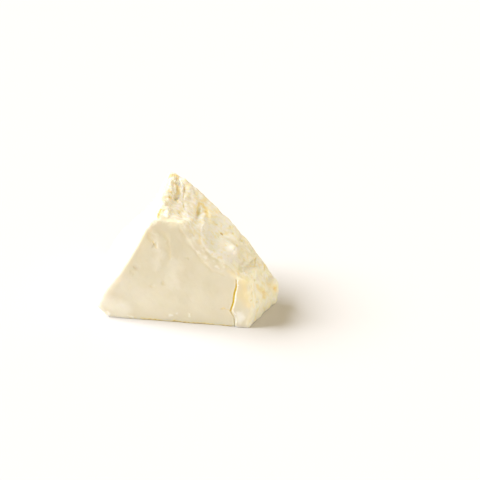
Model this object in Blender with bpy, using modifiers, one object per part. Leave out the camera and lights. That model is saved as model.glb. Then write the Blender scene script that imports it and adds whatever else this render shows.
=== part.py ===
"""A wedge of feta cheese: knife-cut front, left side and back, a flat base, and one side
that was broken off instead of cut, so that it is crumbly.

Shapes are worked out in millimetres and become metres when a mesh is made, with +Z up.
While it is shaped, the wedge stands on Z = 0 with its front cut on Y = 0, facing -Y. The
finished wedge is then placed with its origin at the middle of its base.
"""

import math

import bmesh
import bpy
from mathutils import Matrix, Vector, noise

MM = 0.001

# Plan of the base.
LEFT_FOOT_FRONT_X = -9.0
LEFT_FOOT_BACK = (-17.3, 71.0)
RIGHT_FOOT_BACK = (102.5, 30.0)

# The front cut's outline on its broken side, from the ridge down to the right foot.
FRONT_BREAK = (
    (27.2, 66.8),
    (32.4, 71.6),
    (40.0, 71.6),
    (50.0, 71.4),
    (57.0, 57.5),
    (63.0, 48.4),
    (76.0, 41.7),
    (80.5, 37.0),
    (88.0, 34.0),
    (90.0, 20.0),
    (89.0, 0.0),
)

# The back cut's outline there: from the crest it falls away as a power of the distance.
# A blunt tip stands on the crest: its middle, half width, squareness and height.
CREST_X = 33.0
CREST_START = -1.5
CREST_HEIGHT = 74.0
TIP_X = 34.0
TIP_HALF_WIDTH = 3.4
TIP_SQUARENESS = 4
TIP_HEIGHT = 3.0
FALL_FACTOR = 0.0717
FALL_POWER = 1.58
# Swells on the way down: middle, half width and height of each.
BACK_SWELLS = (
    (43.8, 5.0, 2.1),
    (73.5, 4.0, 1.0),
    (89.5, 5.0, 2.0),
)
FALL_END_X = 103.8
BACK_TOE = ((103.4, 7.7), (101.7, 0.0))

# The knife wandered on the left cut: how far it is full below and hollow above, at the
# front and at the back.
WANDER_FRONT = (2.5, 1.0)
WANDER_BACK = (2.7, 2.7)
# Between front and back the ridge bows to the right and up, soonest near the front.
RIDGE_BOW = (3.2, 3.2)
BOW_POWER = 0.6
BOW_END = 0.18
# Beside the ridge the break sags between front and back: how deep, which share of the way
# down the break it reaches that depth at, and from where it fades and over how much.
SAG_DEPTH = 3.6
SAG_FULL = 0.12
SAG_FADE = (0.16, 0.42)
# The shoulder behind the front cut's broken edge: how steeply it rises, and which share
# of the way down the break it starts and ends at, each eased over a further share.
SHOULDER_POWER = 6.0
SHOULDER_START = (0.14, 0.12)
SHOULDER_END = (0.5, 0.14)

# Points down the left cut, down the break and along the base, and sections front to back.
CUT_POINTS = 84
BREAK_POINTS = 132
BACK_POINTS = 48
BASE_POINTS = 24
SECTIONS = 64

# The worn corner at the front left, lifted off the floor: a cut through three points.
WORN_CORNER = ((1.5, 0.0, 0.0), (-6.6, 0.0, 9.5), (-9.0, 15.0, 0.0))

# Places on the break are millimetres down from the ridge and back from the front cut.
# Dents and lumps: place, the two half widths, and the depth, negative for a lump.
DENTS = (
    (1.5, 7.0, 4.0, 3.4, 1.6),
    (3.6, 24.0, 2.8, 4.0, 2.2),
    (10.7, 31.5, 2.6, 8.5, 3.0),
    (14.4, 38.0, 1.8, 7.5, 2.0),
    (19.0, 12.0, 6.0, 6.0, 1.0),
    (27.2, 28.0, 3.0, 11.0, 2.2),
    (27.6, 22.5, 1.8, 3.2, 1.4),
    (33.6, 26.5, 2.0, 4.4, 2.2),
    (46.3, 19.9, 1.7, 1.9, 2.4),
    (53.2, 29.7, 1.7, 2.0, 1.6),
    (57.5, 14.5, 4.6, 4.8, -2.2),
    (58.4, 22.2, 1.8, 2.2, 2.0),
    (60.6, 30.5, 1.8, 2.2, 1.8),
    (64.5, 34.0, 4.6, 5.0, -2.0),
    (71.5, 24.0, 4.0, 8.0, -1.4),
    (75.6, 22.0, 2.4, 6.5, 2.4),
    (83.2, 10.0, 2.2, 2.8, 2.0),
    (91.0, 1.5, 2.4, 2.8, 1.8),
    (94.3, 13.5, 2.4, 2.8, 2.2),
    (97.0, 28.0, 6.0, 6.0, -2.6),
    (100.5, 22.5, 3.0, 3.2, 2.2),
    (104.0, 15.5, 5.0, 5.5, -1.8),
)

# The shell-shaped hollow behind the shoulder: its middle and half widths, how square
# its outline is, its depth, and its raised rim.
HOLLOW = (45.0, 19.0, 12.5, 16.0)
HOLLOW_SQUARENESS = 3.0
HOLLOW_DEPTH = 1.8
HOLLOW_RIM = 0.6
HOLLOW_RIM_WIDTH = 0.1
# The crumb grows calm from this share of the hollow inwards.
HOLLOW_CALM = 0.8

# Down the break: where the craggy top ends, and where the steep right end begins.
CRAGS_END = 18.0
CRAGS_FADE = 8.0
CRAGS_BACK = 12.0
STEEP_START = 62.0
STEEP_FULL = 72.0
# The crumb's relief is carved from this far outside the break.
CRUMB_LIFT = 0.7
# Flakes lie like shingles down the break: their pitch, and height there and at the end.
FLAKE_PITCH = 8.5
FLAKE_WANDER = (12.0, 1.4)
FLAKE_SLANT = 0.02
FLAKE_HEIGHTS = (0.8, 0.4)
# Upright streaks on the right end: their size along X, Y and Z, and height.
STREAK_SIZE = (5.0, 2.8, 10.0)
STREAK_HEIGHT = 1.3
# Curd grains: size and height, coarse and fine, and the smooth unevenness of both.
COARSE_CURD = (6.0, 1.1)
FINE_CURD = (3.2, 0.6)
UNEVEN_CURD = (2.6, 0.7)
# How rough the crumb is on the slope and at the right end; more in the crags, less in
# the hollow.
ROUGH_SLOPE = 0.6
ROUGH_END = 0.9
ROUGH_CRAGS = 0.35
ROUGH_HOLLOW = -0.25
# The crumb fades towards the front cut, over a longer way where the soft shoulder is.
FRONT_FADE = 4.0
SHOULDER_FADE = 12.0
SHOULDER_SPAN = (14.0, 8.0, 52.0, 10.0)
RIDGE_FADE = 3.0
FLOOR_FADE = 4.0

# The front cut isn't quite flat: swells by their width, height and amount, and a broad
# shallow band down the face.
SWELLS = ((24.0, 18.0, 0.7), (8.0, 11.0, 0.3))
BAND_MIDDLE = (52.0, 48.0)
BAND_NORMAL = (0.75, 0.66)
BAND_HALF_WIDTH = 12.0
BAND_DEPTH = 0.5
# Marks on the front cut: place as (x, z), half widths, lean in degrees, and depth.
FRONT_MARKS = (
    (31.7, 54.3, 1.1, 4.2, -33.5, 1.1),
    (20.0, 37.5, 3.0, 3.0, 0.0, 0.7),
    (29.6, 25.5, 2.0, 2.0, 0.0, 0.6),
    (36.0, 27.9, 1.8, 1.8, 0.0, 0.5),
)
# The relief of the front cut reaches this deep into the edges round it.
FRONT_REACH = (1.0, 4.0)

# The crack in the front cut, from the break down to the base, as (x, z) points. The
# slab to the right of it stands forward.
CRACK_PATH = (
    (81.6, 42.0),
    (80.4, 33.8),
    (80.3, 28.8),
    (78.8, 23.2),
    (78.3, 17.5),
    (76.6, 11.4),
    (79.0, 7.3),
    (79.5, 1.7),
    (80.4, -3.0),
)
CRACK_SPUR = ((72.4, 12.7), (74.6, 12.9), (76.8, 11.6))
CRACK_WIDTH = 0.9
CRACK_TIP_SHARE = 0.3
CRACK_DEPTH = 3.0
CRACK_END_WIDTH = 0.25
CRACK_OVERSHOOT = 3.0
SLAB_FORWARD = 0.8
SLAB_EDGE = 1.2
SLAB_TOP = 42.0
SLAB_FADE = 6.0

# The fused mesh: its grain, how far the cuts' edges are rounded, and its facets.
VOXEL = 0.8
EDGE_SOFTENING = 14
EDGE_REACH = (0.8, 2.0)
CRUMB_SOFTENING = 0.07
FLOOR_TRIM = 0.5
FLOOR_BLOCK = (300.0, 300.0, 40.0)
FACET_SHARE = 0.088


def smooth(value):
    """Ease from 0 to 1 as value goes from 0 to 1."""
    value = min(max(value, 0.0), 1.0)
    return value * value * (3.0 - 2.0 * value)


def lerp(start, end, share):
    return start + (end - start) * share


def resample(points, count):
    """Spread count points evenly along a polyline of (x, z) points."""
    points = [Vector(point) for point in points]
    lengths = [0.0]
    for first, second in zip(points, points[1:]):
        lengths.append(lengths[-1] + (second - first).length)
    spread = []
    leg = 0
    for number in range(count):
        reach = lengths[-1] * number / (count - 1)
        while leg < len(points) - 2 and lengths[leg + 1] < reach:
            leg += 1
        share = (reach - lengths[leg]) / (lengths[leg + 1] - lengths[leg])
        spread.append(points[leg].lerp(points[leg + 1], share))
    return spread


def back_break():
    """The back cut's outline from its crest down to the right foot."""
    points = []
    for step in range(BACK_POINTS + 1):
        x = lerp(CREST_X + CREST_START, FALL_END_X, step / BACK_POINTS)
        fall = FALL_FACTOR * max(x - CREST_X, 0.0) ** FALL_POWER
        tip = math.exp(-((x - TIP_X) / TIP_HALF_WIDTH) ** TIP_SQUARENESS)
        swell = sum(high * math.exp(-((x - middle) / half) ** 2) for middle, half, high in BACK_SWELLS)
        points.append((x, CREST_HEIGHT - fall + TIP_HEIGHT * tip + swell))
    return points + list(BACK_TOE)


def left_cut(foot_x, ridge, wander):
    """A knife cut from the left foot up to the ridge, with the knife's wander."""
    points = []
    for number in range(CUT_POINTS):
        rise = number / (CUT_POINTS - 1)
        wave = math.sin(math.tau * rise) * (1.0 - rise ** 6)
        offset = wave * (wander[0] if wave > 0.0 else wander[1])
        points.append(Vector((lerp(foot_x, ridge.x, rise) - offset, ridge.y * rise)))
    return points


def ridge_bow(share):
    """How far the ridge is bowed to the right and up at a share of its way back."""
    return Vector(RIDGE_BOW) * math.sin(math.pi * share ** BOW_POWER)


def sag(share, along):
    """How deep the break sags beside the ridge, at shares of its way back and down."""
    beside = smooth(along / SAG_FULL) * (1.0 - smooth((along - SAG_FADE[0]) / SAG_FADE[1]))
    return SAG_DEPTH * beside * math.sin(math.pi * share)


def back_depth(x):
    """How far behind the front cut the oblique back cut lies."""
    share = (x - LEFT_FOOT_BACK[0]) / (RIGHT_FOOT_BACK[0] - LEFT_FOOT_BACK[0])
    return lerp(LEFT_FOOT_BACK[1], RIGHT_FOOT_BACK[1], share)


def curd(point, size):
    """Rounded lumps of about the given size, with creases between them: -1 to 0."""
    near = noise.voronoi(point / size, distance_metric='DISTANCE', exponent=2.5)[0]
    crease = min((near[1] - near[0]) / 0.35, 1.0)
    return 0.6 * (crease - 1.0) - 0.4 * min(near[0], 1.0)


def dent(reach, depth):
    """How deep a rounded dent is at reach, which is 0 at its middle and 1 on its rim."""
    return depth * (1.0 - smooth(reach))


def hollow_reach(down, back):
    """How far from the shell-shaped hollow's middle this is: 1 on its rim."""
    along = abs(down - HOLLOW[0]) / HOLLOW[2]
    across = abs(back - HOLLOW[1]) / HOLLOW[3]
    return (along ** HOLLOW_SQUARENESS + across ** HOLLOW_SQUARENESS) ** (1.0 / HOLLOW_SQUARENESS)


def break_forms(down, back):
    """The broken side's larger forms: the hollow with its rim, dents and lumps."""
    reach = hollow_reach(down, back)
    height = HOLLOW_RIM * math.exp(-((reach - 1.0) / HOLLOW_RIM_WIDTH) ** 2)
    if reach < 1.0:
        height -= HOLLOW_DEPTH * (1.0 - reach * reach)
    for middle_down, middle_back, half_down, half_back, depth in DENTS:
        away = math.hypot((down - middle_down) / half_down, (back - middle_back) / half_back)
        height -= dent(away, depth)
    return height


def roughness(down, back, steep):
    """How strong the curd grains are at a place on the break."""
    crags = (1.0 - smooth((down - CRAGS_END) / CRAGS_FADE)) * smooth(back / CRAGS_BACK - 1.0)
    hollow = 1.0 - smooth((hollow_reach(down, back) - HOLLOW_CALM) / 0.3)
    return lerp(ROUGH_SLOPE, ROUGH_END, steep) + ROUGH_CRAGS * crags + ROUGH_HOLLOW * hollow


def break_crumb(down, back, point):
    """The broken side's crumb: flakes, upright streaks at the right end, and curd."""
    steep = smooth((down - STEEP_START) / (STEEP_FULL - STEEP_START))
    wander = FLAKE_WANDER[1] * noise.noise(point / FLAKE_WANDER[0])
    flake = down / FLAKE_PITCH + wander + FLAKE_SLANT * back
    height = CRUMB_LIFT + lerp(FLAKE_HEIGHTS[0], FLAKE_HEIGHTS[1], steep) * (flake % 1.0 - 0.5)
    streak = Vector(along / size for along, size in zip(point, STREAK_SIZE))
    height += STREAK_HEIGHT * steep * noise.noise(streak)

    grains = COARSE_CURD[1] * curd(point, COARSE_CURD[0]) + FINE_CURD[1] * curd(point, FINE_CURD[0])
    grains += UNEVEN_CURD[1] * noise.noise(point / UNEVEN_CURD[0])
    height += grains * roughness(down, back, steep)

    span_start, span_ease, span_end, span_fade = SHOULDER_SPAN
    by_shoulder = smooth((down - span_start) / span_ease) * (1.0 - smooth((down - span_end) / span_fade))
    soft = lerp(0.2, 1.0, smooth(back / lerp(FRONT_FADE, SHOULDER_FADE, by_shoulder)))
    by_ridge = lerp(0.4, 1.0, smooth(down / RIDGE_FADE))
    by_floor = lerp(0.5, 1.0, smooth(point.z / FLOOR_FADE))
    return height * soft * by_ridge * by_floor


def section(share, fronts, backs):
    """One closed outline of the loft, at a share of the way from front to back.

    The first points climb the left cut, the next go down the break, the last are the base.
    """
    front_cut, front_break = fronts
    back_cut, back_side = backs
    bow = ridge_bow(share)
    ring = []
    for number, (first, second) in enumerate(zip(front_cut[:-1], back_cut[:-1])):
        rise = number / (CUT_POINTS - 1)
        ring.append(first.lerp(second, share) + bow * rise)
    quick = 1.0 - (1.0 - share) ** SHOULDER_POWER
    for number, (first, second) in enumerate(zip(front_break, back_side)):
        along = number / (BREAK_POINTS - 1)
        shoulder = smooth((along - SHOULDER_START[0]) / SHOULDER_START[1])
        shoulder *= 1.0 - smooth((along - SHOULDER_END[0]) / SHOULDER_END[1])
        spot = first.lerp(second, lerp(share, quick, shoulder))
        spot.y -= sag(share, along)
        ring.append(spot + bow * (1.0 - smooth(along / BOW_END)))
    right_foot, left_foot = ring[-1], ring[0]
    for number in range(1, BASE_POINTS):
        ring.append(right_foot.lerp(left_foot, number / BASE_POINTS))
    return [Vector((flat.x, share * back_depth(flat.x), flat.y)) for flat in ring]


def loft_mesh():
    """The whole wedge as a loft from the front cut's outline to the back cut's."""
    front_break = resample(FRONT_BREAK, BREAK_POINTS)
    back_side = resample(back_break(), BREAK_POINTS)
    fronts = (left_cut(LEFT_FOOT_FRONT_X, front_break[0], WANDER_FRONT), front_break)
    backs = (left_cut(LEFT_FOOT_BACK[0], back_side[0], WANDER_BACK), back_side)

    mesh = bmesh.new()
    rings = []
    for number in range(SECTIONS):
        points = section(number / (SECTIONS - 1), fronts, backs)
        rings.append([mesh.verts.new(point) for point in points])
    count = len(rings[0])
    for near, far in zip(rings, rings[1:]):
        for number in range(count):
            after = (number + 1) % count
            mesh.faces.new((near[number], near[after], far[after], far[number]))
    mesh.faces.new(list(reversed(rings[0])))
    mesh.faces.new(rings[-1])
    bmesh.ops.recalc_face_normals(mesh, faces=mesh.faces)
    mesh.normal_update()
    carve_break(rings)
    return mesh


def carve_break(rings):
    """Give the break its relief, moving each of its points along the normal."""
    breaks = [ring[CUT_POINTS - 1:CUT_POINTS - 1 + BREAK_POINTS] for ring in rings]
    back_side = breaks[-1]
    length = sum((after.co - vert.co).length for vert, after in zip(back_side, back_side[1:]))
    moves = []
    for side in breaks:
        for number, vert in enumerate(side):
            down = length * number / (BREAK_POINTS - 1)
            relief = break_forms(down, vert.co.y) + break_crumb(down, vert.co.y, vert.co)
            normal = vert.normal.copy()
            if side in (breaks[0], back_side):
                normal.y = 0.0
                normal.normalize()
            moves.append((vert, normal * relief))
    for vert, move in moves:
        vert.co += move
    for vert in back_side:
        vert.co.y = back_depth(vert.co.x)


def wear_corner(mesh):
    """Cut off the corner at the front left, which is worn away near the floor."""
    corner = [Vector(point) for point in WORN_CORNER]
    normal = (corner[1] - corner[0]).cross(corner[2] - corner[0])
    if normal.x > 0.0:
        normal.negate()
    cut = bmesh.ops.bisect_plane(
        mesh,
        geom=mesh.verts[:] + mesh.edges[:] + mesh.faces[:],
        plane_co=corner[0],
        plane_no=normal,
        clear_outer=True,
    )
    edges = [item for item in cut["geom_cut"] if isinstance(item, bmesh.types.BMEdge)]
    bmesh.ops.holes_fill(mesh, edges=edges)


def crack_x(height):
    """Where the crack is at a given height on the front cut."""
    for upper, lower in zip(CRACK_PATH, CRACK_PATH[1:]):
        if height >= lower[1]:
            return lerp(lower[0], upper[0], min((height - lower[1]) / (upper[1] - lower[1]), 1.0))
    return CRACK_PATH[-1][0]


def cut_relief(x, z):
    """How far the front cut stands forward, in millimetres: swells, the slab, marks."""
    height = 0.0
    for number, (width, tall, amount) in enumerate(SWELLS):
        height += amount * noise.noise(Vector((x / width, z / tall, 3.0 + 4.0 * number)))
    across_band = Vector((x, z)) - Vector(BAND_MIDDLE)
    height -= dent(abs(across_band.dot(Vector(BAND_NORMAL))) / BAND_HALF_WIDTH, BAND_DEPTH)
    beside = smooth((x - crack_x(z)) / SLAB_EDGE)
    height += SLAB_FORWARD * beside * smooth((SLAB_TOP - z) / SLAB_FADE)
    for middle_x, middle_z, half_width, half_length, lean, depth in FRONT_MARKS:
        place = Vector((x - middle_x, z - middle_z))
        place.rotate(Matrix.Rotation(math.radians(-lean), 2))
        height -= dent(math.hypot(place.x / half_width, place.y / half_length), depth)
    return height


def mesh_from(modelled, name):
    """A new mesh object from a bmesh in millimetres."""
    data = bpy.data.meshes.new(name)
    bmesh.ops.scale(modelled, vec=(MM, MM, MM), verts=modelled.verts)
    modelled.to_mesh(data)
    modelled.free()
    return bpy.data.objects.new(name, data)


def bake(part):
    """Replace an object's mesh by the mesh that its modifiers give."""
    graph = bpy.context.evaluated_depsgraph_get()
    data = bpy.data.meshes.new_from_object(part.evaluated_get(graph))
    part.modifiers.clear()
    old = part.data
    part.data = data
    data.name = part.name
    bpy.data.meshes.remove(old)


def settle_front(part):
    """Shape the front cut of the fused mesh, point by point."""
    for vert in part.data.vertices:
        place = vert.co / MM
        near = 1.0 - smooth((place.y - FRONT_REACH[0]) / FRONT_REACH[1])
        if near > 0.0 and vert.normal.y < -0.3:
            vert.co.y -= near * cut_relief(place.x, place.z) * MM


def weigh_edges(part):
    """Mark how much of the smoothing each point takes: all on a cut, little on the break."""
    group = part.vertex_groups.new(name="cuts")
    crest_y = back_depth(CREST_X)
    for vert in part.data.vertices:
        place = vert.co / MM
        share = min(max(place.y / crest_y, 0.0), 1.0)
        ridge_x = lerp(FRONT_BREAK[0][0], CREST_X, share) + ridge_bow(share).x
        inside = min(place.x - ridge_x, place.y, back_depth(place.x) - place.y, place.z)
        on_break = smooth((inside - EDGE_REACH[0]) / EDGE_REACH[1])
        group.add([vert.index], lerp(1.0, CRUMB_SOFTENING, on_break), 'REPLACE')
    return group


def make_wedge(home):
    shape = loft_mesh()
    wear_corner(shape)
    wedge = mesh_from(shape, "feta_wedge")
    home.objects.link(wedge)
    fuse = wedge.modifiers.new("fuse", 'REMESH')
    fuse.mode = 'VOXEL'
    fuse.voxel_size = VOXEL * MM
    bake(wedge)
    soften = wedge.modifiers.new("soften", 'SMOOTH')
    soften.vertex_group = weigh_edges(wedge).name
    soften.factor = 0.5
    soften.iterations = EDGE_SOFTENING
    bake(wedge)
    settle_front(wedge)
    facets = wedge.modifiers.new("facets", 'DECIMATE')
    facets.ratio = FACET_SHARE
    return wedge


def across(path, number):
    """The direction across a path of (x, z) points at one of them."""
    before = Vector(path[max(number - 1, 0)])
    after = Vector(path[min(number + 1, len(path) - 1)])
    along = (after - before).normalized()
    return Vector((-along.y, along.x))


def make_crack_blade(path, name, home):
    """A blade that follows a path of (x, z) points, wide at the front and thin within."""
    blade = bmesh.new()
    rings = []
    for number, point in enumerate(path):
        side = across(path, number)
        taper = CRACK_TIP_SHARE if number == 0 else 1.0
        ring = []
        for depth, width in ((-CRACK_OVERSHOOT, CRACK_WIDTH), (CRACK_DEPTH, CRACK_END_WIDTH)):
            half = side * width * taper / 2.0
            for flat in (Vector(point) - half, Vector(point) + half):
                ring.append(blade.verts.new((flat.x, depth, flat.y)))
        rings.append([ring[0], ring[1], ring[3], ring[2]])
    for near, far in zip(rings, rings[1:]):
        for corner in range(4):
            after = (corner + 1) % 4
            blade.faces.new((near[corner], near[after], far[after], far[corner]))
    blade.faces.new(rings[0])
    blade.faces.new(rings[-1])
    bmesh.ops.recalc_face_normals(blade, faces=blade.faces)
    cutter = mesh_from(blade, name)
    home.objects.link(cutter)
    return cutter


def make_floor_cutter(home):
    """A block whose top levels the base."""
    block = bmesh.new()
    bmesh.ops.create_cube(block, size=1.0)
    bmesh.ops.scale(block, vec=FLOOR_BLOCK, verts=block.verts)
    bmesh.ops.translate(block, vec=(0.0, 0.0, FLOOR_TRIM - FLOOR_BLOCK[2] / 2.0), verts=block.verts)
    cutter = mesh_from(block, "floor_cutter")
    home.objects.link(cutter)
    return cutter


def cut(part, cutter):
    cutter.hide_render = True
    cutter.display_type = 'WIRE'
    boolean = part.modifiers.new(cutter.name, 'BOOLEAN')
    boolean.operation = 'DIFFERENCE'
    boolean.solver = 'EXACT'
    boolean.object = cutter


def cheese_material():
    material = bpy.data.materials.new("feta")
    material.use_nodes = True
    shader = material.node_tree.nodes["Principled BSDF"]
    shader.inputs["Base Color"].default_value = (0.83, 0.76, 0.58, 1.0)
    shader.inputs["Roughness"].default_value = 0.55
    shader.inputs["Metallic"].default_value = 0.0
    return material


def stand_on_origin(part, cutters):
    """Put the middle of the part's base at the world's origin, and the cutters with it."""
    graph = bpy.context.evaluated_depsgraph_get()
    data = part.evaluated_get(graph).to_mesh()
    xs = [vert.co.x for vert in data.vertices]
    ys = [vert.co.y for vert in data.vertices]
    zs = [vert.co.z for vert in data.vertices]
    middle = Vector(((min(xs) + max(xs)) / 2.0, (min(ys) + max(ys)) / 2.0, min(zs)))
    for item in [part] + cutters:
        item.location = -middle


def main():
    for item in list(bpy.data.objects):
        bpy.data.objects.remove(item, do_unlink=True)
    model = bpy.data.collections.new("feta")
    cutting = bpy.data.collections.new("cutters")
    bpy.context.scene.collection.children.link(model)
    bpy.context.scene.collection.children.link(cutting)

    wedge = make_wedge(model)
    cutters = [
        make_floor_cutter(cutting),
        make_crack_blade(CRACK_PATH, "crack_blade", cutting),
        make_crack_blade(CRACK_SPUR, "crack_spur", cutting),
    ]
    for cutter in cutters:
        cut(wedge, cutter)
    wedge.data.materials.append(cheese_material())
    stand_on_origin(wedge, cutters)


main()
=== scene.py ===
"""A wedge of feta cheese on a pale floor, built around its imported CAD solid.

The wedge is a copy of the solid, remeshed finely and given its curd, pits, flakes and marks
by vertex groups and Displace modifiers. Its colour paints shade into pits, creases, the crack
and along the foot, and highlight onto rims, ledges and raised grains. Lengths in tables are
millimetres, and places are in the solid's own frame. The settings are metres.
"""

import math

import bpy
import numpy as np
from bpy.props import FloatProperty, FloatVectorProperty, IntProperty, PointerProperty
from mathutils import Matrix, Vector, noise


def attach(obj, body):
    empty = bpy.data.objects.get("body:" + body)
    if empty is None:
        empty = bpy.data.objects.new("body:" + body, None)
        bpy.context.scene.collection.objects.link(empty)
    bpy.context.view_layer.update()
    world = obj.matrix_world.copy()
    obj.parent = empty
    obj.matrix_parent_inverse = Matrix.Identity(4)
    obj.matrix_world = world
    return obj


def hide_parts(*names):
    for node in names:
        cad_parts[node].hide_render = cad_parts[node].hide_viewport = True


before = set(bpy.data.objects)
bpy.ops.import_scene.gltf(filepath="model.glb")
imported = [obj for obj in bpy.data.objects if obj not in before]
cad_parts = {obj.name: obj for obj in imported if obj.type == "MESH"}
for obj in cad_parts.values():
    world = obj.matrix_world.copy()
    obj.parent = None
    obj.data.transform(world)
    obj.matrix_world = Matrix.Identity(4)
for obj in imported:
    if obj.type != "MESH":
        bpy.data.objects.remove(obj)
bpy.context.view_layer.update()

bl_info = {
    "name": "Feta wedge",
    "version": (1, 0, 0),
    "blender": (4, 5, 0),
    "location": "3D View > Sidebar > Feta",
    "description": "Builds a wedge of feta cheese and the stage it stands on",
    "category": "Object",
}

NODE = "feta_wedge"
MM = 0.001

# Where the knife cuts are in plan, and where the ridge runs between them, in a bow.
FRONT_Y = -34.7
BACK_ENDS = ((-60.6, 36.3), (59.2, -4.7))
RIDGE_ENDS = ((-16.1, -34.7), (-11.8, 19.6))
RIDGE_BOW = 3.2
RIDGE_BOW_POWER = 0.6
RIDGE_Z = 71.0
# Where the edge between the front cut and the left cut meets the floor.
FOOT_X = -52.4
# That edge is worn round over a width, and then filled up so that it keeps its place.
WEAR_WIDTH = 7.0
WEAR_FILL = 0.7

# The crack in the front cut, as (x, z).
CRACK = (
    (37.1, 33.5),
    (37.1, 28.3),
    (35.8, 22.7),
    (35.3, 17.0),
    (33.6, 10.9),
    (35.6, 6.8),
    (36.2, 1.7),
    (36.4, 0.0),
)
CRACK_HALF_WIDTH = 0.55
CRACK_DEPTH = 1.2
# Its width at the top and at the foot, as a share of that in its middle.
CRACK_NARROW = 0.35
# What is open behind the crack's depth is closed to a small share: how far to its sides,
# and between which heights.
CRACK_SIDE = 1.2
CRACK_HEIGHTS = (0.4, 32.0)
CRACK_KEPT = 0.05
# Further back from the front cut than this, a point counts as far from the crack.
CRACK_REACH = 9.0
FAR = 99.0

# The edge where the front cut meets the break, as (x, z).
BREAK = (
    (-16.1, 66.3),
    (-10.9, 71.1),
    (6.7, 70.9),
    (13.7, 57.0),
    (19.7, 47.9),
    (32.7, 41.2),
    (37.2, 36.5),
    (44.7, 33.5),
    (46.7, 19.5),
    (45.7, 0.0),
)
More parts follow.
